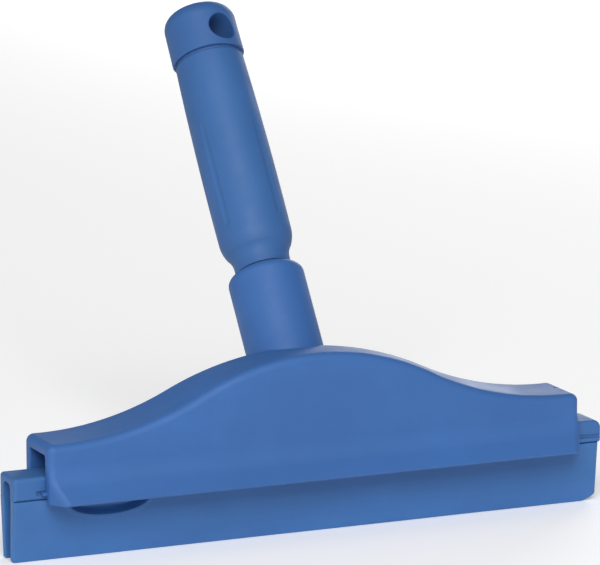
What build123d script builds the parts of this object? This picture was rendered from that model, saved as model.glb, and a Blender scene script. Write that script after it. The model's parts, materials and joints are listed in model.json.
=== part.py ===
"""Hand squeegee: a wiping frame with a slide-in double-lip cassette and a screw-in short handle.

X runs along the blade, -Y is the front, +Z is up.  The origin is midway between the two
wiping edges, at the middle of the blade.  Lengths are millimetres.
"""

import os
from math import atan2, cos, radians, sin

from build123d import *

# ---- cassette: hard carrier with two soft lips -------------------------------------------
BLADE_LENGTH = 251.2
LIP_LENGTH = 250.0
LIP_SHIFT = -0.6
CARRIER_TOP = 33.4
CARRIER_BOTTOM = 24.2
CARRIER_HALF = 7.9
CARRIER_WALL_TOP = 2.5
CARRIER_CORNER = 1.3
CARRIER_END_RADIUS = 1.4
CARRIER_HEAD_RADIUS = 3.4
CARRIER_FOOT_RADIUS = 1.0
LIP_HALF_TOP = 7.9
LIP_HALF_EDGE = 5.4
GAP_HALF_TOP = 3.7
GAP_HALF_EDGE = 2.9
GAP_ROUND = 2.6
LIP_CORNER_LENGTH = 7.5
LIP_CORNER_RISE = 3.0
LIP_SQUARE_CORNER = 1.2
TONGUE_WIDTH = 1.3
TONGUE_HEIGHT = 2.5
TONGUE_CENTRE = 5.2
TONGUE_INSET = 2.5
GROOVE_LOW = 26.3
GROOVE_HIGH = 27.9
GROOVE_DEPTH = 0.7
GROOVE_CLOSED_END = 9.0

# ---- finger pocket in the front lip ------------------------------------------------------
POCKET_X = -86.6
POCKET_HALF_LENGTH = 18.0
POCKET_HALF_HEIGHT = 7.0
POCKET_Z = 21.6
POCKET_DEPTH = 2.0
POCKET_RIM = 1.6
POCKET_RIM_STAND = 0.7

# ---- frame -------------------------------------------------------------------------------
FRAME_HALF = 113.2
FRAME_FRONT = -12.8
FRAME_REAR = 12.6
FRAME_BOTTOM = 23.3
CROWN_TOP = 70.5
CROWN_RADIUS = 128.6
FRONT_CROWN_TOP = 73.4
FRONT_CROWN_RADIUS = 95.0
SHOULDER_TOP = 46.1
SHOULDER_X = 108.0
FRAME_EDGE_RADIUS = 3.0
REAR_EDGE_RADIUS = 1.6
FLARE_TOP = 33.6
FLARE_TIP_Y = -21.3
FLARE_TIP_Z = 24.8
FLARE_HALF = 109.0
FLARE_BEND_RADIUS = 12.0
FLARE_TIP_STEP = 0.5
FLARE_TIP_THICKNESS = 0.9
TOP_MARK_X = 110.4
TOP_MARK_Y = 2.2
TOP_MARK_LENGTH = 3.2
TOP_MARK_RADIUS = 0.55

CHANNEL_HALF = 8.3
CHANNEL_TOP = 41.5
CHANNEL_CORNER = 1.2
CHANNEL_MOUTH_ROUND = 0.8
FINGER_SPACE = 10.7
LEDGE_LOW = 26.5
LEDGE_HIGH = 27.7
LEDGE_REACH = 7.35
LEDGE_OVERRUN = 1.6
HUMP_WALL = 4.0
RIB_THICKNESS = 2.4
RIB_SPACING = 26.0
RIB_COUNT = 6
CORED_HALF_LENGTH = 82.0

# ---- handle axis, tilted back in the plane X = 0 -------------------------------------------
AXIS_Y = 17.05
AXIS_Z = 60.0
TILT = 35.9

# ---- socket and screw thread, lengths measured up the handle axis -------------------------
SOCKET_RADIUS = 15.35
SOCKET_FOOT = -48.0
SOCKET_MOUTH = 42.7
SOCKET_ROUND = 3.6
BORE_RADIUS = 9.9
BORE_FLOOR = 20.0
FLOOR_THICKNESS = 3.0
CORE_RADIUS = 11.0
CORE_LOWEST_Z = 44.0
THREAD_PITCH = 4.5
THREAD_CREST = 10.6
THREAD_ROOT = 9.6
THREAD_BASE = 2.4
THREAD_TIP = 1.3
THREAD_CLEARANCE = 0.3
SPIGOT_END = 22.0
THREAD_START = 24.0
THREAD_TURNS = 3.4
THREAD_RUN_OUT = 2.5
THREAD_SUNK = 0.4

# ---- neck seal -----------------------------------------------------------------------------
SEAL_THICKNESS = 0.8
SEAL_INNER = 9.75
SEAL_OUTER = 11.3
SEAL_PLAY = 0.05

# ---- grip ----------------------------------------------------------------------------------
NECK_RADIUS = 11.35
NECK_FOOT = SOCKET_MOUTH + SEAL_THICKNESS + 2 * SEAL_PLAY
NECK_TOP = 46.6
FLARE_MID = 52.2
FLARE_MID_RADIUS = 13.3
GRIP_LOW = 58.6
GRIP_RADIUS = 14.85
GRIP_BELLY = 0.1
GRIP_WAIST = 85.0
GRIP_TOP = 137.4
GRIP_TOP_RADIUS = 13.95
GRIP_TOP_ROUND = 0.5
GRIP_BORE = 10.9
GRIP_BORE_LOW = 62.0
SPIGOT_BORE = 6.4
SPIGOT_BORE_TOP = 48.6
SPIGOT_BORE_LOW = 25.0
FLUTE_COUNT = 4
FLUTE_FIRST = 27.0
FLUTE_RADIUS = 3.5
FLUTE_DEPTH = 0.33
FLUTE_LOW = 63.0
FLUTE_HIGH = 107.0

# ---- end cap -------------------------------------------------------------------------------
CAP_RADIUS = 14.85
CAP_TOP_RADIUS = 14.65
CAP_LOW = 138.5
CAP_EDGE_ROUND = 0.4
CAP_GROOVE_RADIUS = 13.1
CAP_STRAIGHT_TOP = 153.8
CAP_ROUND = 6.5
PLUG_RADIUS = 10.85
PLUG_LOW = 127.0
PLUG_BORE = 8.4
HANG_HOLE_RADIUS = 5.9
HANG_HOLE_HEIGHT = 146.7
HANG_HOLE_TURN = 14.5
HANG_HOLE_ROUND = 0.45

# ---- working allowances --------------------------------------------------------------------
BIG = 200.0
LAP = 1.0
SAME = 0.01

tilt = radians(TILT)
HANDLE = Plane(origin=(0, AXIS_Y, AXIS_Z), x_dir=(1, 0, 0), z_dir=(0, sin(tilt), cos(tilt)))


def section_along_x(points, half_length):
    """Prism of a Y-Z outline, centred on X = 0."""
    face = Plane.YZ.offset(-half_length) * make_face(Polyline(*points, close=True))
    return extrude(face, amount=2 * half_length)


def block(x_low, x_high, y_low, y_high, z_low, z_high):
    """Plain box between two corners."""
    size = (x_high - x_low, y_high - y_low, z_high - z_low)
    centre = ((x_low + x_high) / 2, (y_low + y_high) / 2, (z_low + z_high) / 2)
    return Pos(*centre) * Box(*size)


def up_the_handle(shape):
    """Place a shape, made about +Z from the axis origin, on the tilted handle axis."""
    return HANDLE.location * shape


def tube_space(radius, low, high):
    """Cylinder on the local Z axis between two lengths."""
    return Pos(0, 0, low) * Cylinder(radius, high - low, align=(Align.CENTER, Align.CENTER, Align.MIN))


# ---- frame ---------------------------------------------------------------------------------
def bell_face(crown_top, crown_radius, inset=0.0):
    """X-Z outline under a bell-shaped top line, with its arcs moved in by an inset."""
    rise = SHOULDER_TOP - crown_top + crown_radius
    valley_radius = (SHOULDER_X**2 + rise**2 - crown_radius**2) / (2 * (crown_radius - rise))
    crown_centre = Vector(0, crown_top - crown_radius)
    valley_centre = Vector(SHOULDER_X, SHOULDER_TOP + valley_radius)
    between = (valley_centre - crown_centre).normalized()
    meet = crown_centre + between * (crown_radius - inset)
    middle = (atan2(-between.Y, -between.X) - radians(90)) / 2
    valley_mid = valley_centre + Vector(cos(middle), sin(middle)) * (valley_radius + inset)
    low = SHOULDER_TOP - inset

    crown = ThreePointArc((-meet.X, meet.Y), (0, crown_top - inset), (meet.X, meet.Y))
    right = ThreePointArc((meet.X, meet.Y), (valley_mid.X, valley_mid.Y), (SHOULDER_X, low))
    left = ThreePointArc((-SHOULDER_X, low), (-valley_mid.X, valley_mid.Y), (-meet.X, meet.Y))
    rim = Polyline(
        (SHOULDER_X, low),
        (FRAME_HALF, low),
        (FRAME_HALF, FRAME_BOTTOM),
        (-FRAME_HALF, FRAME_BOTTOM),
        (-FRAME_HALF, low),
        (-SHOULDER_X, low),
    )
    return make_face([crown, right, rim, left])


def bell_slab():
    """Solid between the front wall's taller, narrower bell and the rear wall's bell."""
    front = Plane.XZ.offset(-FLARE_TIP_Y) * bell_face(FRONT_CROWN_TOP, FRONT_CROWN_RADIUS)
    rear = Plane.XZ.offset(-FRAME_REAR) * bell_face(CROWN_TOP, CROWN_RADIUS)
    return loft([front, rear], ruled=True)


def frame_shell():
    """Outer body: bell-shaped slab whose front wall flares out to a drip lip."""
    slab = bell_slab()
    outline = Polyline(
        (FRAME_REAR, FRAME_BOTTOM),
        (FRAME_REAR, BIG),
        (FRAME_FRONT, BIG),
        (FRAME_FRONT, FLARE_TOP),
        (FLARE_TIP_Y, FLARE_TIP_Z),
        (FLARE_TIP_Y + FLARE_TIP_STEP, FLARE_TIP_Z - FLARE_TIP_THICKNESS),
        (-FINGER_SPACE, FRAME_BOTTOM),
        close=True,
    )
    section = make_face(outline)
    bend = section.vertices().filter_by(
        lambda v: near(v.X, FRAME_FRONT) and near(v.Y, FLARE_TOP)
    )
    section = fillet(bend, FLARE_BEND_RADIUS)
    section_prism = extrude(Plane.YZ.offset(-FRAME_HALF) * section, amount=2 * FRAME_HALF)
    plan = Polyline(
        (-FRAME_HALF, FRAME_REAR),
        (-FRAME_HALF, FRAME_FRONT),
        (-FLARE_HALF, FLARE_TIP_Y),
        (FLARE_HALF, FLARE_TIP_Y),
        (FRAME_HALF, FRAME_FRONT),
        (FRAME_HALF, FRAME_REAR),
        close=True,
    )
    plan_prism = extrude(make_face(plan), amount=BIG)
    shell = slab & section_prism & plan_prism

    return round_shell(shell)


def near(value, target):
    """True when two coordinates are the same."""
    return abs(value - target) < SAME


def round_shell(shell):
    """Round the shell's long top edges and its end corners."""
    front_top = [
        e for e in shell.edges() if near(e.center().Y, FRAME_FRONT) and e.center().Z > SHOULDER_TOP - LAP
    ]
    ends_top = [
        e
        for e in shell.edges()
        if near(abs(e.center().X), FRAME_HALF) and near(e.center().Z, SHOULDER_TOP)
    ]
    end_corners = [
        e
        for e in shell.edges()
        if abs(e.center().X) > FLARE_HALF - SAME
        and e.center().Y < FRAME_FRONT + SAME
        and FLARE_TIP_Z < e.center().Z < SHOULDER_TOP - LAP
    ]
    shell = fillet(front_top + ends_top + end_corners, FRAME_EDGE_RADIUS)
    rear_top = [
        e
        for e in shell.edges()
        if near(e.center().Y, FRAME_REAR) and e.center().Z > SHOULDER_TOP - FRAME_EDGE_RADIUS
    ]
    return fillet(rear_top, REAR_EDGE_RADIUS)


def socket_outside():
    """Tilted round socket that dies into the rear wall, with a rounded mouth."""
    barrel = tube_space(SOCKET_RADIUS, SOCKET_FOOT, SOCKET_MOUTH)
    mouth = barrel.edges().filter_by(GeomType.CIRCLE).sort_by(Axis.Z)[-1]
    barrel = fillet(mouth, SOCKET_ROUND)
    rear_only = block(-BIG, BIG, 0, BIG, FRAME_BOTTOM, BIG)
    return up_the_handle(barrel) & rear_only


def helical_ridge(root, crest, base, tip, turns, start):
    """Right-hand thread ridge on the local Z axis, sunk a little into its root cylinder."""
    path = Helix(pitch=THREAD_PITCH, height=THREAD_PITCH * turns, radius=root)
    profile = Polyline(
        (-THREAD_SUNK, -base / 2),
        (crest - root, -tip / 2),
        (crest - root, tip / 2),
        (-THREAD_SUNK, base / 2),
        close=True,
    )
    placed = Plane(origin=path @ 0, x_dir=(1, 0, 0), z_dir=path % 0) * make_face(profile)
    return Pos(0, 0, start) * sweep(placed, path=path, is_frenet=True)


def socket_inside():
    """Tapped bore above a floor, and the cored space below that floor."""
    turns_to_mouth = (SOCKET_MOUTH - THREAD_START) / THREAD_PITCH + THREAD_RUN_OUT
    groove = helical_ridge(
        BORE_RADIUS,
        THREAD_CREST + THREAD_CLEARANCE,
        THREAD_BASE + 2 * THREAD_CLEARANCE,
        THREAD_TIP + 2 * THREAD_CLEARANCE,
        turns_to_mouth,
        THREAD_START - THREAD_PITCH,
    )
    bore = tube_space(BORE_RADIUS, BORE_FLOOR, SOCKET_MOUTH + 2 * THREAD_PITCH)
    tapped = up_the_handle(bore + groove)
    core = up_the_handle(tube_space(CORE_RADIUS, SOCKET_FOOT, BORE_FLOOR - FLOOR_THICKNESS))
    core &= block(-BIG, BIG, 0, BIG, CORE_LOWEST_Z, BIG)
    return tapped, core


def channel_space():
    """Space for the cassette, with a ledge left on each wall to carry it."""
    outline = [
        (CHANNEL_HALF, 0),
        (CHANNEL_HALF, LEDGE_LOW),
        (LEDGE_REACH, LEDGE_LOW),
        (LEDGE_REACH, LEDGE_HIGH),
        (CHANNEL_HALF, LEDGE_HIGH),
        (CHANNEL_HALF, CHANNEL_TOP),
        (-CHANNEL_HALF, CHANNEL_TOP),
        (-CHANNEL_HALF, LEDGE_HIGH),
        (-LEDGE_REACH, LEDGE_HIGH),
        (-LEDGE_REACH, LEDGE_LOW),
        (-FINGER_SPACE, LEDGE_LOW),
        (-FINGER_SPACE, 0),
    ]
    channel = section_along_x(outline, BIG)
    ceiling = [
        e
        for e in channel.edges().filter_by(Axis.X)
        if near(e.center().Z, CHANNEL_TOP)
    ]
    return fillet(ceiling, CHANNEL_CORNER)


def hump_cores():
    """Cored pockets inside the hump, with cross ribs left between them."""
    face = Plane.XZ * bell_face(CROWN_TOP, CROWN_RADIUS, inset=HUMP_WALL)
    space = extrude(face, amount=CHANNEL_HALF, both=True)
    space &= block(-CORED_HALF_LENGTH, CORED_HALF_LENGTH, -BIG, BIG, CHANNEL_TOP - LAP, BIG)
    for index in range(RIB_COUNT):
        x = (index - (RIB_COUNT - 1) / 2) * RIB_SPACING
        space -= block(x - RIB_THICKNESS / 2, x + RIB_THICKNESS / 2, -BIG, BIG, 0, BIG)
    return space


def round_mouths(body):
    """Round the channel's open ends above the ledges."""
    mouths = [
        e
        for e in body.edges()
        if near(abs(e.center().X), FRAME_HALF)
        and abs(e.center().Y) < CHANNEL_HALF + SAME
        and LEDGE_HIGH + LAP < e.center().Z < CHANNEL_TOP + SAME
    ]
    return fillet(mouths, CHANNEL_MOUTH_ROUND)


def ledge_tips():
    """Short ends of the two ledges that stand out past the frame's ends."""
    tips = []
    for side, wall in ((-1, FINGER_SPACE), (1, CHANNEL_HALF)):
        y_low, y_high = sorted((side * LEDGE_REACH, side * wall))
        tips.append(
            block(
                -FRAME_HALF - LEDGE_OVERRUN,
                FRAME_HALF + LEDGE_OVERRUN,
                y_low,
                y_high,
                LEDGE_LOW,
                LEDGE_HIGH,
            )
        )
    return tips


def top_mark():
    """Small sunk slot on the top face near the right end."""
    centre = (TOP_MARK_X, TOP_MARK_Y, SHOULDER_TOP)
    return Pos(*centre) * Rot(0, 90, 0) * Cylinder(TOP_MARK_RADIUS, TOP_MARK_LENGTH)


def squeegee_frame():
    """One moulding: flared channel, hump and threaded socket."""
    tapped, core = socket_inside()
    body = frame_shell() + socket_outside()
    body = round_mouths(body - channel_space())
    for pocket in hump_cores().solids():
        body -= pocket
    body -= core
    body -= tapped
    for tip in ledge_tips():
        body += tip
    return body - top_mark()


# ---- cassette --------------------------------------------------------------------------------
def end_edges(bar, end, level):
    """The carrier's cross edge at one end, 1 for the right and -1 for the left, at a level."""
    return [
        e
        for e in bar.edges()
        if near(e.center().X, end * BLADE_LENGTH / 2) and near(e.center().Z, level)
    ]


def cassette_carrier():
    """Hard channel-shaped spine, grooved on both sides for the frame's ledges."""
    bar = block(
        -BLADE_LENGTH / 2,
        BLADE_LENGTH / 2,
        -CARRIER_HALF,
        CARRIER_HALF,
        CARRIER_BOTTOM,
        CARRIER_TOP,
    )
    bar = fillet(end_edges(bar, 1, CARRIER_TOP), CARRIER_HEAD_RADIUS)
    bar = fillet(end_edges(bar, 1, CARRIER_BOTTOM), CARRIER_FOOT_RADIUS)
    bar = fillet(bar.edges().filter_by(Axis.Z), CARRIER_END_RADIUS)
    long_edges = [
        e
        for e in bar.edges()
        if e.center().Z > CARRIER_TOP - LAP and abs(e.center().Y) > CARRIER_HALF - SAME
    ]
    bar = fillet(long_edges + end_edges(bar, -1, CARRIER_TOP), CARRIER_CORNER)
    gap = block(-BIG, BIG, -GAP_HALF_TOP, GAP_HALF_TOP, 0, CARRIER_TOP - CARRIER_WALL_TOP)
    gap_top = gap.edges().filter_by(Axis.X).filter_by(lambda e: e.center().Z > CARRIER_BOTTOM)
    bar -= fillet(gap_top, GAP_ROUND)
    for side in (-1, 1):
        y_low, y_high = sorted((side * (CARRIER_HALF - GROOVE_DEPTH), side * BIG))
        bar -= block(-BLADE_LENGTH / 2 + GROOVE_CLOSED_END, BIG, y_low, y_high, GROOVE_LOW, GROOVE_HIGH)
        bar -= lip_tongue(side)
    return bar


def lip_tongue(side):
    """Tongue along a lip's top edge, bonded in the carrier's leg."""
    half = LIP_LENGTH / 2 - TONGUE_INSET
    centre = side * TONGUE_CENTRE
    return block(
        LIP_SHIFT - half,
        LIP_SHIFT + half,
        centre - TONGUE_WIDTH / 2,
        centre + TONGUE_WIDTH / 2,
        CARRIER_BOTTOM,
        CARRIER_BOTTOM + TONGUE_HEIGHT,
    )


def plain_lip(side):
    """Tapered rubber lip, its lower corner swept up at the right end and nearly square at the left."""
    outline = [
        (side * LIP_HALF_TOP, CARRIER_BOTTOM),
        (side * GAP_HALF_TOP, CARRIER_BOTTOM),
        (side * GAP_HALF_EDGE, 0),
        (side * LIP_HALF_EDGE, 0),
    ]
    lip = section_along_x(outline, LIP_LENGTH / 2)
    half = LIP_LENGTH / 2
    corners = ((-1, LIP_SQUARE_CORNER, LIP_SQUARE_CORNER), (1, LIP_CORNER_LENGTH, LIP_CORNER_RISE))
    for end, length, rise in corners:
        start = (end * (half - length), 0)
        stop = (end * half, rise)
        outside = Polyline(stop, (end * half, -LAP), (start[0], -LAP), start)
        curve = TangentArc(start, stop, tangent=(end, 0))
        lip -= extrude(Plane.XZ * make_face([outside, curve]), amount=BIG, both=True)
    return Pos(LIP_SHIFT, 0, 0) * lip + lip_tongue(side)


def pocket_plate(grow, y_low, y_high):
    """Oval prism through the front lip, grown or shrunk evenly all round."""
    oval = Ellipse(POCKET_HALF_LENGTH + grow, POCKET_HALF_HEIGHT + grow)
    prism = extrude(Plane.XZ * oval, amount=y_high - y_low)
    return Pos(POCKET_X, y_high, POCKET_Z) * prism & block(-BIG, BIG, -BIG, BIG, 0, CARRIER_BOTTOM)


def front_lip():
    """Front wiping lip with an oval finger pocket near its left end."""
    face_y = -LIP_HALF_TOP
    lip = plain_lip(-1)
    lip += pocket_plate(0, face_y - POCKET_RIM_STAND, -GAP_HALF_TOP - LAP)
    lip -= pocket_plate(-POCKET_RIM, face_y - BIG, face_y + POCKET_DEPTH)
    return lip


def rear_lip():
    """Rear wiping lip."""
    return plain_lip(1)


# ---- handle ----------------------------------------------------------------------------------
def neck_seal():
    """Thin flat washer between the socket's mouth and the grip's neck."""
    low = SOCKET_MOUTH + SEAL_PLAY
    ring = tube_space(SEAL_OUTER, low, low + SEAL_THICKNESS)
    ring -= tube_space(SEAL_INNER, low - LAP, low + SEAL_THICKNESS + LAP)
    return up_the_handle(ring)


def grip_outside():
    """Outer shape of the grip: plain neck, S-shaped flare and a barely bellied barrel."""
    neck = Line((NECK_RADIUS, NECK_FOOT), (NECK_RADIUS, NECK_TOP))
    flare_low = TangentArc((NECK_RADIUS, NECK_TOP), (FLARE_MID_RADIUS, FLARE_MID), tangent=(0, 1))
    flare_high = TangentArc((GRIP_RADIUS, GRIP_LOW), (FLARE_MID_RADIUS, FLARE_MID), tangent=(0, -1))
    shoulder = (GRIP_TOP_RADIUS, GRIP_TOP - GRIP_TOP_ROUND)
    belly = (GRIP_RADIUS + GRIP_BELLY, GRIP_WAIST)
    barrel = ThreePointArc((GRIP_RADIUS, GRIP_LOW), belly, shoulder)
    rim = Polyline(
        shoulder,
        (GRIP_TOP_RADIUS - GRIP_TOP_ROUND, GRIP_TOP),
        (0, GRIP_TOP),
        (0, NECK_FOOT),
        (NECK_RADIUS, NECK_FOOT),
    )
    face = Plane.XZ * make_face([neck, flare_low, flare_high, barrel, rim])
    return revolve(face, Axis.Z)


def hand_grip():
    """Hollow grip with shallow flutes and a threaded spigot at its foot."""
    body = grip_outside()
    body += tube_space(THREAD_ROOT, SPIGOT_END, NECK_FOOT + LAP)
    body += helical_ridge(
        THREAD_ROOT, THREAD_CREST, THREAD_BASE, THREAD_TIP, THREAD_TURNS, THREAD_START
    )
    body -= tube_space(SPIGOT_BORE, SPIGOT_BORE_LOW, GRIP_TOP)
    body -= tube_space(GRIP_BORE, GRIP_BORE_LOW, GRIP_TOP + LAP)
    step = Pos(0, 0, (SPIGOT_BORE_TOP + GRIP_BORE_LOW) / 2)
    body -= step * Cone(SPIGOT_BORE, GRIP_BORE, GRIP_BORE_LOW - SPIGOT_BORE_TOP)
    for index in range(FLUTE_COUNT):
        body -= Rot(0, 0, FLUTE_FIRST + index * 360 / FLUTE_COUNT) * flute()
    return up_the_handle(body)


def flute():
    """Long shallow groove with rounded ends, on the front (-Y) side of the grip."""
    centre_y = -(GRIP_RADIUS + FLUTE_RADIUS - FLUTE_DEPTH)
    bar = Pos(0, centre_y, 0) * tube_space(FLUTE_RADIUS, FLUTE_LOW, FLUTE_HIGH)
    for end in (FLUTE_LOW, FLUTE_HIGH):
        bar += Pos(0, centre_y, end) * Sphere(FLUTE_RADIUS)
    return bar


def end_cap():
    """Domed cap with a push-in plug and a hanging hole across it."""
    dome = TangentArc(
        (CAP_TOP_RADIUS, CAP_STRAIGHT_TOP),
        (CAP_TOP_RADIUS - CAP_ROUND, CAP_STRAIGHT_TOP + CAP_ROUND),
        tangent=(0, 1),
    )
    rim = Polyline(
        (CAP_TOP_RADIUS - CAP_ROUND, CAP_STRAIGHT_TOP + CAP_ROUND),
        (0, CAP_STRAIGHT_TOP + CAP_ROUND),
        (0, GRIP_TOP),
        (CAP_GROOVE_RADIUS, GRIP_TOP),
        (CAP_GROOVE_RADIUS, CAP_LOW),
        (CAP_RADIUS - CAP_EDGE_ROUND, CAP_LOW),
        (CAP_RADIUS, CAP_LOW + CAP_EDGE_ROUND),
        (CAP_TOP_RADIUS, CAP_STRAIGHT_TOP),
    )
    cap = revolve(Plane.XZ * make_face([dome, rim]), Axis.Z)
    cap += tube_space(PLUG_RADIUS, PLUG_LOW, GRIP_TOP + LAP)
    cap -= tube_space(PLUG_BORE, PLUG_LOW - LAP, GRIP_TOP)
    hole = Rot(0, 0, HANG_HOLE_TURN) * Rot(90, 0, 0) * Cylinder(HANG_HOLE_RADIUS, 4 * CAP_RADIUS)
    cap -= Pos(0, 0, HANG_HOLE_HEIGHT) * hole
    rims = cap.edges().filter_by(GeomType.BSPLINE).filter_by(lambda e: e.length > HANG_HOLE_RADIUS)
    return up_the_handle(fillet(rims, HANG_HOLE_ROUND))


SUB_PARTS = {
    "squeegee_frame": squeegee_frame,
    "cassette_carrier": cassette_carrier,
    "front_lip": front_lip,
    "rear_lip": rear_lip,
    "neck_seal": neck_seal,
    "hand_grip": hand_grip,
    "end_cap": end_cap,
}


def main():
    """Write one STEP file for each sub-part."""
    os.makedirs("parts", exist_ok=True)
    for name, make in SUB_PARTS.items():
        solid = make()
        solid.label = name
        export_step(solid, f"parts/{name}.step")
        print(f"{name}: {solid.volume / 1000:.1f} cm3")


if __name__ == "__main__":
    main()
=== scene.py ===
"""Looks of the hand squeegee: moulded plastic, rubber lips, neck seal and the stage it stands on."""

import json
import math

import bmesh
import bpy
import numpy as np
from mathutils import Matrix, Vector


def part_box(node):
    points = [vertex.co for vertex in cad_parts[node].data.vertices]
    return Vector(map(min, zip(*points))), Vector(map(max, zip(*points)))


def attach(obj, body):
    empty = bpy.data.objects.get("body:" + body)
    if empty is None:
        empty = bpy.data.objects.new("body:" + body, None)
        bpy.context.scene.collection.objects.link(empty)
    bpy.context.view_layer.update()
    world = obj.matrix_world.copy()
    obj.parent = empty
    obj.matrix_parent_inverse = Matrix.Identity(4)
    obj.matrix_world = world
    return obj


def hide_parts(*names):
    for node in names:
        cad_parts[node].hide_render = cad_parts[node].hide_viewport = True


bl_info = {
    "name": "Hand squeegee looks",
    "version": (1, 0, 0),
    "blender": (4, 5, 0),
    "location": "3D View > Sidebar > Squeegee",
    "description": "Finishes the mouldings, makes the rubber pieces and sets the stage",
    "category": "Object",
}

MM = 0.001

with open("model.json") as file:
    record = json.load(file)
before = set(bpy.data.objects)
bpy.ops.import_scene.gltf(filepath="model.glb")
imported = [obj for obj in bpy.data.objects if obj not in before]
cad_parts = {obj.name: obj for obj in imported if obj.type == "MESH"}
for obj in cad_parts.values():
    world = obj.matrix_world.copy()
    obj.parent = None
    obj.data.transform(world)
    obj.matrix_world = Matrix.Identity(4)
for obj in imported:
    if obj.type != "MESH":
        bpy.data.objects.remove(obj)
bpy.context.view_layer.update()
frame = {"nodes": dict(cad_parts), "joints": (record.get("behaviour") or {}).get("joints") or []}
FRONT_LIP_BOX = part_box("front_lip")
REAR_LIP_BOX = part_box("rear_lip")
CARRIER_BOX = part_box("cassette_carrier")

# Quarter-round steps, as shares of the radius measured in from the edge.
ROUND_STEPS = tuple(1 - math.cos(math.radians(step)) for step in range(0, 91, 15))


# ---- settings a user would change ----------------------------------------------------------
def colour_property(name, description, default):
    """A colour that shows as a swatch in the sidebar."""
    return bpy.props.FloatVectorProperty(
        name=name,
        description=description,
        subtype="COLOR",
        size=3,
        min=0.0,
        max=1.0,
        default=default,
    )


def length_property(name, description, default):
    """A small length in metres."""
    return bpy.props.FloatProperty(
        name=name,
        description=description,
        subtype="DISTANCE",
        unit="LENGTH",
        min=0.0,
        max=0.1,
        precision=5,
        default=default,
    )


class SqueegeeColours(bpy.types.PropertyGroup):
    """Colours of the mouldings, the rubber and the stage."""

    frame_plastic: colour_property("Frame", "Moulded plastic of the frame", (0.031, 0.126, 0.375))
    carrier_plastic: colour_property("Carrier", "Hard spine of the cassette", (0.036, 0.136, 0.365))
    grip_plastic: colour_property("Grip", "Moulded plastic of the grip", (0.030, 0.118, 0.330))
    cap_plastic: colour_property("Cap", "Moulded plastic of the end cap", (0.030, 0.114, 0.330))
    lip_rubber: colour_property("Lips", "Rubber of the two wiping lips", (0.038, 0.144, 0.385))
    # The seal's colour is a darkened copy of the plastic blue. It is painted shade for the dark line
    # where the grip's neck meets the socket, on top of the rubber's own colour.
    seal_rubber: colour_property("Seal", "Rubber of the neck seal", (0.010, 0.036, 0.110))
    floor: colour_property("Floor", "Pale floor under the squeegee", (0.96, 0.96, 0.965))


class SqueegeeSizes(bpy.types.PropertyGroup):
    """Sizes of the rubber details that the looks add to the CAD pieces."""

    end_round: length_property("Lip end round", "Radius down each lip's outer end corners", 1.1 * MM)
    edge_round: length_property("Wiping edge round", "Radius along each wiping edge", 0.35 * MM)
    pocket_half_length: length_property("Pocket half length", "Half the length of the oval", 18.0 * MM)
    pocket_half_height: length_property("Pocket half height", "Half the height of the oval", 7.0 * MM)
    pocket_depth: length_property("Pocket depth", "Depth of the pocket below its rim", 3.1 * MM)
    pocket_rim: length_property("Pocket rim width", "Width of the rim round the pocket", 1.7 * MM)
    pocket_stand: length_property("Pocket rim height", "Height of the rim above the lip", 0.70 * MM)
    seal_round: length_property("Seal round", "Radius on the neck seal's edges", 0.25 * MM)
    edge_softness: length_property("Edge softness", "Radius that sharp moulded edges show", 0.35 * MM)


# ---- procedural finishes -------------------------------------------------------------------
# Roughness of each finish, and how much a hand polishes it.
PLASTIC_ROUGHNESS = 0.60
GRIP_ROUGHNESS = 0.62
LIP_ROUGHNESS = 0.5
SEAL_ROUGHNESS = 0.55
GRIP_POLISH = 0.05
CAP_POLISH = 0.04

# Share of the edge softness that the carrier's crisper edges keep.
CARRIER_SOFTNESS_SHARE = 0.25

# Noise features in a metre, from broad flow marks down to single specks.
FLOW_MARKS = 16
RUBBER_CLOUDS = 28
PALM_MARKS = 60
SKIN_CLOUDS = 90
BLOOM_SPOTS = 150
PEEL_WAVES = 320
EDGE_WEAR = 420
PLASTIC_GRAIN = 2200
RUBBER_GRAIN = 2600
SKIN_SPECKS = 5200


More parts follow.
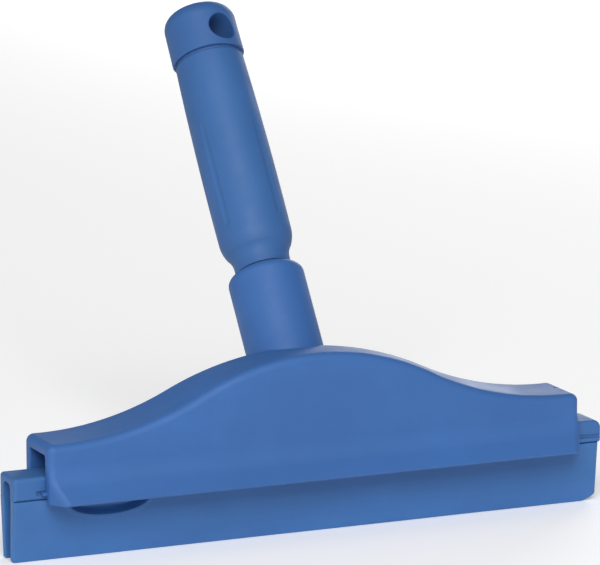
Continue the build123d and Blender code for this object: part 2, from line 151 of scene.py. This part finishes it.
class Nodes:
    """Adds and joins the nodes of one material."""

    def __init__(self, name):
        self.material = bpy.data.materials.new(name)
        self.material.use_nodes = True
        self.tree = self.material.node_tree
        self.tree.nodes.clear()
        self.shader = self.add("ShaderNodeBsdfPrincipled")
        output = self.add("ShaderNodeOutputMaterial")
        self.join(self.shader.outputs["BSDF"], output.inputs["Surface"])
        self.place = self.add("ShaderNodeTexCoord").outputs["Object"]

    def add(self, kind, **settings):
        """One node, with its own settings."""
        node = self.tree.nodes.new(kind)
        for key, value in settings.items():
            setattr(node, key, value)
        return node

    def join(self, source, target):
        """A link between two sockets."""
        self.tree.links.new(source, target)

    def maths(self, operation, first, second):
        """A Math node; each input is a socket or a number."""
        node = self.add("ShaderNodeMath", operation=operation)
        for socket, value in zip(node.inputs, (first, second)):
            if isinstance(value, bpy.types.NodeSocket):
                self.join(value, socket)
            else:
                socket.default_value = value
        return node.outputs[0]

    def noise(self, scale, detail=2.0, stretch=(1.0, 1.0, 1.0), roughness=0.5):
        """Noise in object space; scale counts features in a metre."""
        mapping = self.add("ShaderNodeMapping")
        mapping.inputs["Scale"].default_value = stretch
        self.join(self.place, mapping.inputs["Vector"])
        node = self.add("ShaderNodeTexNoise")
        node.inputs["Scale"].default_value = scale
        node.inputs["Detail"].default_value = detail
        node.inputs["Roughness"].default_value = roughness
        self.join(mapping.outputs["Vector"], node.inputs["Vector"])
        return node.outputs["Fac"]

    def ramp(self, source, low, high, to_low=0.0, to_high=1.0):
        """Maps a value's range onto another, held at both ends."""
        node = self.add("ShaderNodeMapRange", clamp=True)
        self.join(source, node.inputs["Value"])
        for name, value in (
            ("From Min", low),
            ("From Max", high),
            ("To Min", to_low),
            ("To Max", to_high),
        ):
            node.inputs[name].default_value = value
        return node.outputs["Result"]

    def tint(self, share, under, over):
        """Mixes two colours, each a socket or an RGB triple, by a share."""
        node = self.add("ShaderNodeMix", data_type="RGBA")
        self.join(share, node.inputs["Factor"])
        for name, value in (("A", under), ("B", over)):
            socket = [s for s in node.inputs if s.name == name and s.type == "RGBA"][0]
            if isinstance(value, bpy.types.NodeSocket):
                self.join(value, socket)
            else:
                socket.default_value = (*value, 1.0)
        return [s for s in node.outputs if s.type == "RGBA"][0]

    def bump(self, height, distance, strength, under=None):
        """Raises the surface by a height, on top of an earlier normal."""
        node = self.add("ShaderNodeBump")
        node.inputs["Strength"].default_value = strength
        node.inputs["Distance"].default_value = distance
        self.join(height, node.inputs["Height"])
        if under is not None:
            self.join(under, node.inputs["Normal"])
        return node.outputs["Normal"]


def scaled(colour, factor):
    """A colour made lighter or darker."""
    return tuple(min(1.0, channel * factor) for channel in colour)


def toward_white(colour, share):
    """A colour moved part of the way to white."""
    return tuple(channel + (1.0 - channel) * share for channel in colour)


def worn_edges(nodes, radius):
    """Mask that is bright where the surface turns sharply, and the softened normal it comes from."""
    bevel = nodes.add("ShaderNodeBevel", samples=6)
    bevel.inputs["Radius"].default_value = radius
    flat = nodes.add("ShaderNodeNewGeometry").outputs["Normal"]
    dot = nodes.add("ShaderNodeVectorMath", operation="DOT_PRODUCT")
    nodes.join(bevel.outputs["Normal"], dot.inputs[0])
    nodes.join(flat, dot.inputs[1])
    turn = nodes.maths("SUBTRACT", 1.0, dot.outputs["Value"])
    return nodes.ramp(turn, 0.01, 0.2), bevel.outputs["Normal"]


def moulded_plastic(name, colour, roughness, softness, handled=0.0):
    """Matt injection-moulded polypropylene with a fine grain, rubbed edges and hairline scuffs."""
    nodes = Nodes(name)
    flow = nodes.ramp(nodes.noise(FLOW_MARKS, 3.0, stretch=(1.0, 1.6, 1.6)), 0.34, 0.66)
    cloud = nodes.ramp(nodes.noise(SKIN_CLOUDS, 4.0), 0.36, 0.64)
    grain = nodes.noise(PLASTIC_GRAIN, 2.0, roughness=0.65)
    speck = nodes.ramp(nodes.noise(SKIN_SPECKS, 1.0), 0.62, 0.72)
    peel = nodes.noise(PEEL_WAVES, 2.0)
    streak = nodes.noise(1.0, 3.0, stretch=(70.0, 1500.0, 1500.0))
    cross = nodes.noise(1.0, 3.0, stretch=(1300.0, 90.0, 900.0))
    scuffs = nodes.maths(
        "ADD",
        nodes.ramp(streak, 0.66, 0.74),
        nodes.ramp(cross, 0.68, 0.76),
    )
    rubbed, softened = worn_edges(nodes, softness)
    patches = nodes.ramp(nodes.noise(EDGE_WEAR, 3.0), 0.35, 0.7, 0.25, 1.0)
    rubbed = nodes.maths("MULTIPLY", rubbed, patches)

    base = nodes.tint(flow, scaled(colour, 0.93), scaled(colour, 1.05))
    base = nodes.tint(nodes.maths("MULTIPLY", cloud, 0.25), base, scaled(colour, 0.9))
    base = nodes.tint(nodes.maths("MULTIPLY", speck, 0.18), base, toward_white(colour, 0.12))
    base = nodes.tint(nodes.maths("MULTIPLY", scuffs, 0.04), base, toward_white(colour, 0.18))
    base = nodes.tint(nodes.maths("MULTIPLY", rubbed, 0.30), base, toward_white(colour, 0.16))
    nodes.join(base, nodes.shader.inputs["Base Color"])

    rough = nodes.ramp(cloud, 0.0, 1.0, roughness - 0.03, roughness + 0.04)
    rough = nodes.maths("SUBTRACT", rough, nodes.maths("MULTIPLY", rubbed, 0.08))
    rough = nodes.maths("SUBTRACT", rough, nodes.maths("MULTIPLY", scuffs, 0.05))
    if handled:
        palm = nodes.ramp(nodes.noise(PALM_MARKS, 4.0), 0.45, 0.6, 0.0, handled)
        rough = nodes.maths("SUBTRACT", rough, palm)
    nodes.join(rough, nodes.shader.inputs["Roughness"])

    normal = nodes.bump(peel, 0.06 * MM, 0.5, softened)
    normal = nodes.bump(grain, 0.03 * MM, 0.45, normal)
    nodes.join(normal, nodes.shader.inputs["Normal"])
    nodes.shader.inputs["IOR"].default_value = 1.49
    nodes.shader.inputs["Specular IOR Level"].default_value = 0.5
    return nodes.material


def soft_rubber(name, colour, roughness):
    """Smooth wiping rubber with a dry bloom, drawn faintly along its length."""
    nodes = Nodes(name)
    cloud = nodes.ramp(nodes.noise(RUBBER_CLOUDS, 4.0, stretch=(1.0, 2.0, 2.4)), 0.36, 0.66)
    drawn = nodes.noise(1.0, 3.0, stretch=(14.0, 700.0, 900.0))
    fine = nodes.noise(RUBBER_GRAIN, 2.0)
    bloom = nodes.ramp(nodes.noise(BLOOM_SPOTS, 5.0, roughness=0.6), 0.5, 0.72)

    base = nodes.tint(cloud, scaled(colour, 0.94), scaled(colour, 1.05))
    base = nodes.tint(nodes.ramp(drawn, 0.4, 0.7, 0.0, 0.16), base, scaled(colour, 0.88))
    base = nodes.tint(nodes.maths("MULTIPLY", bloom, 0.10), base, toward_white(colour, 0.08))
    nodes.join(base, nodes.shader.inputs["Base Color"])
    nodes.join(
        nodes.ramp(bloom, 0.0, 1.0, roughness, roughness + 0.1),
        nodes.shader.inputs["Roughness"],
    )
    normal = nodes.bump(drawn, 0.03 * MM, 0.35)
    normal = nodes.bump(fine, 0.02 * MM, 0.3, normal)
    nodes.join(normal, nodes.shader.inputs["Normal"])
    nodes.shader.inputs["IOR"].default_value = 1.5
    nodes.shader.inputs["Specular IOR Level"].default_value = 0.4
    nodes.shader.inputs["Sheen Weight"].default_value = 0.03
    nodes.shader.inputs["Sheen Roughness"].default_value = 0.5
    return nodes.material


def dress(node_name, material):
    """Gives a carried-over CAD node its finish."""
    mesh = frame["nodes"][node_name].data
    mesh.materials.clear()
    mesh.materials.append(material)


# ---- mesh helpers --------------------------------------------------------------------------
LINE_GAP = 0.012 * MM
WELD_DISTANCE = 1e-7
SMOOTH_ANGLE = 40.0


def solid_from(name, points, faces, material):
    """A closed mesh object with outward faces, smooth except where it turns sharply."""
    mesh = bpy.data.meshes.new(name)
    mesh.from_pydata([tuple(p) for p in points], [], faces)
    work = bmesh.new()
    work.from_mesh(mesh)
    bmesh.ops.remove_doubles(work, verts=work.verts, dist=WELD_DISTANCE)
    bmesh.ops.recalc_face_normals(work, faces=work.faces)
    work.to_mesh(mesh)
    work.free()
    mesh.shade_smooth()
    mesh.set_sharp_from_angle(angle=math.radians(SMOOTH_ANGLE))
    mesh.materials.append(material)
    made = bpy.data.objects.new(name, mesh)
    bpy.context.scene.collection.objects.link(made)
    return made


def merged_lines(*groups):
    """Sorted grid lines from several groups, with near-doubles dropped."""
    lines = sorted(value for group in groups for value in group)
    kept = [lines[0]]
    for value in lines[1:]:
        if value - kept[-1] > LINE_GAP:
            kept.append(value)
    return np.array(kept)


def spread(low, high, step):
    """Even lines from low to high, both ends included."""
    count = max(1, round((high - low) / step))
    return [low + (high - low) * index / count for index in range(count + 1)]


# ---- wiping lips ---------------------------------------------------------------------------
LIP_TOP = CARRIER_BOX[0].z
OUTER_EDGE = 5.4 * MM
OUTER_TOP = 7.88 * MM
INNER_EDGE = 2.9 * MM
INNER_TOP = 3.7 * MM
INNER_ROUND = 0.5 * MM
SWEPT_LENGTH = 7.5 * MM
SWEPT_RISE = 3.0 * MM
SQUARE_ROUND = 1.2 * MM
POCKET_X = -86.6 * MM
POCKET_Z = 21.6 * MM
POCKET_GRID = 0.22 * MM
POCKET_RAMP = 3.4 * MM
POCKET_MARGIN = 1.2 * MM
UPPER_RAMP_CUT = 0.45
BOWL_POWER = 1.1
RIM_SPREAD = 0.28 * MM
RIM_RISE = 0.5 * MM
RIM_OVERLAP = 0.2 * MM
SWEPT_STEP = 0.5 * MM
LENGTH_STEP = 3 * MM
HEIGHT_STEP = 1.2 * MM

# The faint waviness of a moulded lip's free edge: its height, and two waves in radians a metre.
WAVE_HEIGHT = 0.08 * MM
SLOW_WAVE = 61
QUICK_WAVE = 143
QUICK_SHARE = 0.6
QUICK_START = 1.3


def lip_foot(x, low, high):
    """Height of the wiping edge at x: swept up at the right end, nearly square at the left."""
    right = np.clip((x - (high - SWEPT_LENGTH)) / SWEPT_LENGTH, 0, 1)
    left = np.clip(((low + SQUARE_ROUND) - x) / SQUARE_ROUND, 0, 1)
    return SWEPT_RISE * right**2 + SQUARE_ROUND * (1 - np.sqrt(1 - left**2))


def pocket_swell(x, z, sizes):
    """How far the pocket's rim stands out of the lip, or its bowl sinks in, at each point."""
    across = (x - POCKET_X) / sizes.pocket_half_length
    up = (z - POCKET_Z) / sizes.pocket_half_height
    radius = np.maximum(np.hypot(across, up), 1e-6)
    slope = np.hypot(across / sizes.pocket_half_length, up / sizes.pocket_half_height) / radius
    beyond = (radius - 1) / np.maximum(slope, 1e-6)

    def eased(share):
        share = np.clip(share, 0, 1)
        return share * share * (3 - 2 * share)

    rise = eased((RIM_SPREAD - beyond) / RIM_RISE)
    ramp = np.where(up < 0, POCKET_RAMP, POCKET_RAMP * (1 - UPPER_RAMP_CUT * np.clip(up, 0, 1)))
    wall = np.clip((-beyond - sizes.pocket_rim + RIM_OVERLAP) / ramp, 0, 1)
    sunk = np.sin(wall * math.pi / 2) ** BOWL_POWER
    return sizes.pocket_stand * rise - sizes.pocket_depth * sunk


def edge_inset(from_end, from_foot, end_round, foot_round):
    """How far a lip's face falls back near its ends and its wiping edge."""
    end = np.clip(1 - from_end / end_round, 0, 1)
    foot = np.clip(1 - from_foot / foot_round, 0, 1)
    both = end**2 + foot**2
    reach = np.minimum(both, 1)
    depth = (end**2 * end_round + foot**2 * foot_round) / np.maximum(both, 1e-9)
    return depth * (1 - np.sqrt(1 - reach))


def lip_mesh(name, side, box, sizes, material, with_pocket):
    """One rubber lip as a closed skin, tapered and round-edged, with or without the oval pocket."""
    low, high = box[0].x, box[1].x
    ends = [low + share * sizes.end_round for share in ROUND_STEPS]
    ends += [high - share * sizes.end_round for share in ROUND_STEPS]
    corner = [low + share * SQUARE_ROUND for share in ROUND_STEPS]
    swept = spread(high - SWEPT_LENGTH, high, SWEPT_STEP)
    pocket_x = []
    pocket_z = []
    if with_pocket:
        reach = sizes.pocket_half_length + POCKET_MARGIN
        foot_of_pocket = POCKET_Z - sizes.pocket_half_height - POCKET_MARGIN
        pocket_x = spread(POCKET_X - reach, POCKET_X + reach, POCKET_GRID)
        pocket_z = spread(foot_of_pocket, LIP_TOP, POCKET_GRID)
    along = merged_lines(ends, corner, swept, pocket_x, spread(low, high, LENGTH_STEP))
    foot = [share * sizes.edge_round for share in ROUND_STEPS]
    up = merged_lines(foot, pocket_z, spread(0, LIP_TOP, HEIGHT_STEP)) / LIP_TOP

    x, share = np.meshgrid(along, up, indexing="ij")
    base = lip_foot(x, low, high)
    z = base + share * (LIP_TOP - base)
    from_end = np.minimum(x - low, high - x)
    level = z / LIP_TOP
    swell = np.sin(x * SLOW_WAVE) + QUICK_SHARE * np.sin(x * QUICK_WAVE + QUICK_START)
    wave = WAVE_HEIGHT * (1 - level) ** 2 * swell
    outer = OUTER_EDGE + (OUTER_TOP - OUTER_EDGE) * level
    inner = INNER_EDGE + (INNER_TOP - INNER_EDGE) * level
    outer -= edge_inset(from_end, z - base, sizes.end_round, sizes.edge_round)
    inner += edge_inset(from_end, z - base, INNER_ROUND, sizes.edge_round)
    if with_pocket:
        outer += pocket_swell(x, z, sizes)

    rows, columns = x.shape
    count = rows * columns
    skin = [np.stack((x, side * (y + wave), z), axis=-1).reshape(-1, 3) for y in (outer, inner)]
    points = np.concatenate(skin)
    faces = []
    for i in range(rows - 1):
        for j in range(columns - 1):
            a = i * columns + j
            quad = (a, a + columns, a + columns + 1, a + 1)
            faces.append(quad)
            faces.append(tuple(count + corner_index for corner_index in quad[::-1]))
    loop = [i * columns for i in range(rows)]
    loop += [(rows - 1) * columns + j for j in range(1, columns)]
    loop += [i * columns + columns - 1 for i in range(rows - 2, -1, -1)]
    loop += [j for j in range(columns - 2, 0, -1)]
    for a, b in zip(loop, loop[1:] + loop[:1]):
        faces.append((a, b, count + b, count + a))
    return solid_from(name, points, faces, material)


# ---- neck seal -----------------------------------------------------------------------------
SEAL_SEGMENTS = 144
SEAL_INNER = 9.75 * MM
SEAL_OUTER = 11.3 * MM
SEAL_THICKNESS = 0.8 * MM
CORNER_STEPS = 5


def rounded_section(inner, outer, half, radius):
    """Points round a rectangle with rounded corners, as radius and height."""
    corners = (
        (outer - radius, half - radius, 0),
        (inner + radius, half - radius, 90),
        (inner + radius, -half + radius, 180),
        (outer - radius, -half + radius, 270),
    )
    section = []
    for centre_r, centre_h, start in corners:
        for step in range(CORNER_STEPS + 1):
            angle = math.radians(start + 90 * step / CORNER_STEPS)
            section.append((centre_r + radius * math.cos(angle), centre_h + radius * math.sin(angle)))
    return section


def washer_mesh(name, centre, axis, sizes, material):
    """Flat rubber washer with rounded edges, square to an axis."""
    section = rounded_section(SEAL_INNER, SEAL_OUTER, SEAL_THICKNESS / 2, sizes.seal_round)
    turn = axis.to_track_quat("Z", "X").to_matrix()
    points = []
    for index in range(SEAL_SEGMENTS):
        angle = math.tau * index / SEAL_SEGMENTS
        for radius, height in section:
            local = Vector((radius * math.cos(angle), radius * math.sin(angle), height))
            points.append(centre + turn @ local)
    faces = []
    around = len(section)
    for index in range(SEAL_SEGMENTS):
        here = index * around
        there = (index + 1) % SEAL_SEGMENTS * around
        for step in range(around):
            after = (step + 1) % around
            faces.append((here + step, there + step, there + after, here + after))
    return solid_from(name, points, faces, material)


# ---- stage ---------------------------------------------------------------------------------
FLOOR_HALF = 9.0
FLOOR_DROP = 0.05 * MM
CAMERA_AIM = Vector((0.20, 7.69, 96.80)) * MM
CAMERA_AZIMUTH = 23.98
CAMERA_ELEVATION = 11.22
CAMERA_DISTANCE = 1.799
CAMERA_LENS = 276.3
SENSOR_WIDTH = 36.0
NEAREST_SEEN = 0.1
FARTHEST_SEEN = 60.0
SKY_STRENGTH = 0.26
FLOOR_GLOW = 0.14
FLOOR_CELLS = 24

# Name, azimuth and elevation in degrees, distance, width and height in metres, power in watts.
LIGHTS = (
    ("key_light", -24, 38, 3.4, 2.2, 1.8, 96),
    ("left_light", -88, 14, 3.2, 1.2, 1.6, 8),
    ("back_light", 140, 14, 2.2, 0.9, 0.6, 15),
)


def toward(azimuth, elevation):
    """Unit vector from the object out to an azimuth, counted from the front, and an elevation."""
    a, e = math.radians(azimuth), math.radians(elevation)
    return Vector((math.sin(a) * math.cos(e), -math.cos(a) * math.cos(e), math.sin(e)))


def soft_light(name, azimuth, elevation, distance, width, height, power):
    """A large area light that faces the object."""
    data = bpy.data.lights.new(name, "AREA")
    data.shape = "RECTANGLE"
    data.size = width
    data.size_y = height
    data.energy = power
    light = bpy.data.objects.new(name, data)
    light.location = CAMERA_AIM + toward(azimuth, elevation) * distance
    light.rotation_mode = "QUATERNION"
    light.rotation_quaternion = toward(azimuth, elevation).to_track_quat("Z", "Y")
    light.visible_camera = False
    bpy.context.scene.collection.objects.link(light)


def floor_finish(colour):
    """Even matt sheet with the faintest mottling."""
    nodes = Nodes("floor_sheet")
    cloud = nodes.ramp(nodes.noise(2.0, 2.0), 0.3, 0.7)
    nodes.join(nodes.tint(cloud, scaled(colour, 0.995), colour), nodes.shader.inputs["Base Color"])
    nodes.shader.inputs["Roughness"].default_value = 0.85
    nodes.shader.inputs["Specular IOR Level"].default_value = 0.1
    nodes.shader.inputs["Emission Color"].default_value = (1.0, 1.0, 1.0, 1.0)
    nodes.shader.inputs["Emission Strength"].default_value = FLOOR_GLOW
    return nodes.material


# ---- operators -----------------------------------------------------------------------------
class SQUEEGEE_OT_finish_frame(bpy.types.Operator):
    """Give the frame moulding its matt plastic finish"""

    bl_idname = "squeegee.finish_frame"
    bl_label = "Finish frame"

    def execute(self, context):
        looks = context.scene.squeegee_colours
        sizes = context.scene.squeegee_sizes
        material = moulded_plastic(
            "frame_plastic", looks.frame_plastic, PLASTIC_ROUGHNESS, sizes.edge_softness
        )
        dress("squeegee_frame", material)
        return {"FINISHED"}


class SQUEEGEE_OT_finish_carrier(bpy.types.Operator):
    """Give the cassette's hard spine its plastic finish"""

    bl_idname = "squeegee.finish_carrier"
    bl_label = "Finish carrier"

    def execute(self, context):
        looks = context.scene.squeegee_colours
        sizes = context.scene.squeegee_sizes
        softness = sizes.edge_softness * CARRIER_SOFTNESS_SHARE
        material = moulded_plastic(
            "carrier_plastic", looks.carrier_plastic, PLASTIC_ROUGHNESS, softness
        )
        dress("cassette_carrier", material)
        return {"FINISHED"}


class SQUEEGEE_OT_finish_handle(bpy.types.Operator):
    """Give the grip and its end cap their plastic finishes"""

    bl_idname = "squeegee.finish_handle"
    bl_label = "Finish handle"

    def execute(self, context):
        looks = context.scene.squeegee_colours
        sizes = context.scene.squeegee_sizes
        softness = sizes.edge_softness
        grip = moulded_plastic(
            "grip_plastic", looks.grip_plastic, GRIP_ROUGHNESS, softness, handled=GRIP_POLISH
        )
        dress("hand_grip", grip)
        cap = moulded_plastic(
            "cap_plastic", looks.cap_plastic, PLASTIC_ROUGHNESS, softness, handled=CAP_POLISH
        )
        dress("end_cap", cap)
        return {"FINISHED"}


class SQUEEGEE_OT_make_lips(bpy.types.Operator):
    """Build the two rubber wiping lips in place of the plain CAD ones"""

    bl_idname = "squeegee.make_lips"
    bl_label = "Make wiping lips"

    def execute(self, context):
        looks = context.scene.squeegee_colours
        sizes = context.scene.squeegee_sizes
        rubber = soft_rubber("lip_rubber", looks.lip_rubber, LIP_ROUGHNESS)
        lips = (
            ("front_wiping_lip", -1, "front_lip", FRONT_LIP_BOX, True),
            ("rear_wiping_lip", 1, "rear_lip", REAR_LIP_BOX, False),
        )
        for name, side, node, box, with_pocket in lips:
            lip = lip_mesh(name, side, box, sizes, rubber, with_pocket)
            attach(lip, "cassette")
            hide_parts(node)
        return {"FINISHED"}


class SQUEEGEE_OT_make_seal(bpy.types.Operator):
    """Build the rubber washer between the socket's mouth and the grip's neck"""

    bl_idname = "squeegee.make_seal"
    bl_label = "Make neck seal"

    def execute(self, context):
        looks = context.scene.squeegee_colours
        sizes = context.scene.squeegee_sizes
        lift = [joint for joint in frame["joints"] if joint["name"] == "seal_lift"][0]
        low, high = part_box("neck_seal")
        # The washer's dark colour is painted shade at the neck junction, on a rubber seal.
        rubber = soft_rubber("seal_rubber", looks.seal_rubber, SEAL_ROUGHNESS)
        seal = washer_mesh("neck_washer", (low + high) / 2, Vector(lift["axis"]), sizes, rubber)
        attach(seal, "seal")
        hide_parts("neck_seal")
        return {"FINISHED"}


class SQUEEGEE_OT_set_stage(bpy.types.Operator):
    """Lay the pale floor, hang the soft lights and set up the camera"""

    bl_idname = "squeegee.set_stage"
    bl_label = "Set stage"

    def execute(self, context):
        scene = context.scene
        mesh = bpy.data.meshes.new("floor")
        work = bmesh.new()
        bmesh.ops.create_grid(
            work, x_segments=FLOOR_CELLS, y_segments=FLOOR_CELLS, size=FLOOR_HALF
        )
        work.to_mesh(mesh)
        work.free()
        mesh.materials.append(floor_finish(scene.squeegee_colours.floor))
        floor = bpy.data.objects.new("floor", mesh)
        floor.location.z = -FLOOR_DROP
        scene.collection.objects.link(floor)

        world = bpy.data.worlds.new("soft_sky")
        world.use_nodes = True
        sky = world.node_tree.nodes["Background"]
        sky.inputs["Color"].default_value = (1.0, 1.0, 1.0, 1.0)
        sky.inputs["Strength"].default_value = SKY_STRENGTH
        scene.world = world
        for light in LIGHTS:
            soft_light(*light)
        scene.view_settings.view_transform = "Standard"

        data = bpy.data.cameras.new("camera")
        data.lens = CAMERA_LENS
        data.sensor_width = SENSOR_WIDTH
        data.clip_start = NEAREST_SEEN
        data.clip_end = FARTHEST_SEEN
        camera = bpy.data.objects.new("camera", data)
        outward = toward(-CAMERA_AZIMUTH, CAMERA_ELEVATION)
        camera.location = CAMERA_AIM + outward * CAMERA_DISTANCE
        camera.rotation_mode = "QUATERNION"
        camera.rotation_quaternion = (-outward).to_track_quat("-Z", "Y")
        scene.collection.objects.link(camera)
        scene.camera = camera
        return {"FINISHED"}


OPERATORS = (
    SQUEEGEE_OT_finish_frame,
    SQUEEGEE_OT_finish_carrier,
    SQUEEGEE_OT_finish_handle,
    SQUEEGEE_OT_make_lips,
    SQUEEGEE_OT_make_seal,
    SQUEEGEE_OT_set_stage,
)


class SQUEEGEE_PT_looks(bpy.types.Panel):
    """Buttons for each group of pieces, and the colours and sizes they use"""

    bl_idname = "SQUEEGEE_PT_looks"
    bl_label = "Hand squeegee"
    bl_space_type = "VIEW_3D"
    bl_region_type = "UI"
    bl_category = "Squeegee"

    def draw(self, context):
        column = self.layout.column(align=True)
        for operator in OPERATORS:
            column.operator(operator.bl_idname)
        for group in (context.scene.squeegee_colours, context.scene.squeegee_sizes):
            box = self.layout.box()
            for name in group.__annotations__:
                box.prop(group, name)


CLASSES = (SqueegeeColours, SqueegeeSizes, *OPERATORS, SQUEEGEE_PT_looks)


def register():
    """Adds the settings, the operators and the panel."""
    for made in CLASSES:
        bpy.utils.register_class(made)
    bpy.types.Scene.squeegee_colours = bpy.props.PointerProperty(type=SqueegeeColours)
    bpy.types.Scene.squeegee_sizes = bpy.props.PointerProperty(type=SqueegeeSizes)


def unregister():
    """Takes them away again."""
    del bpy.types.Scene.squeegee_sizes
    del bpy.types.Scene.squeegee_colours
    for made in reversed(CLASSES):
        bpy.utils.unregister_class(made)


def main():
    """Builds every piece and the stage."""
    register()
    bpy.ops.squeegee.finish_frame()
    bpy.ops.squeegee.finish_carrier()
    bpy.ops.squeegee.finish_handle()
    bpy.ops.squeegee.make_lips()
    bpy.ops.squeegee.make_seal()
    bpy.ops.squeegee.set_stage()


if __name__ == "__main__":
    main()
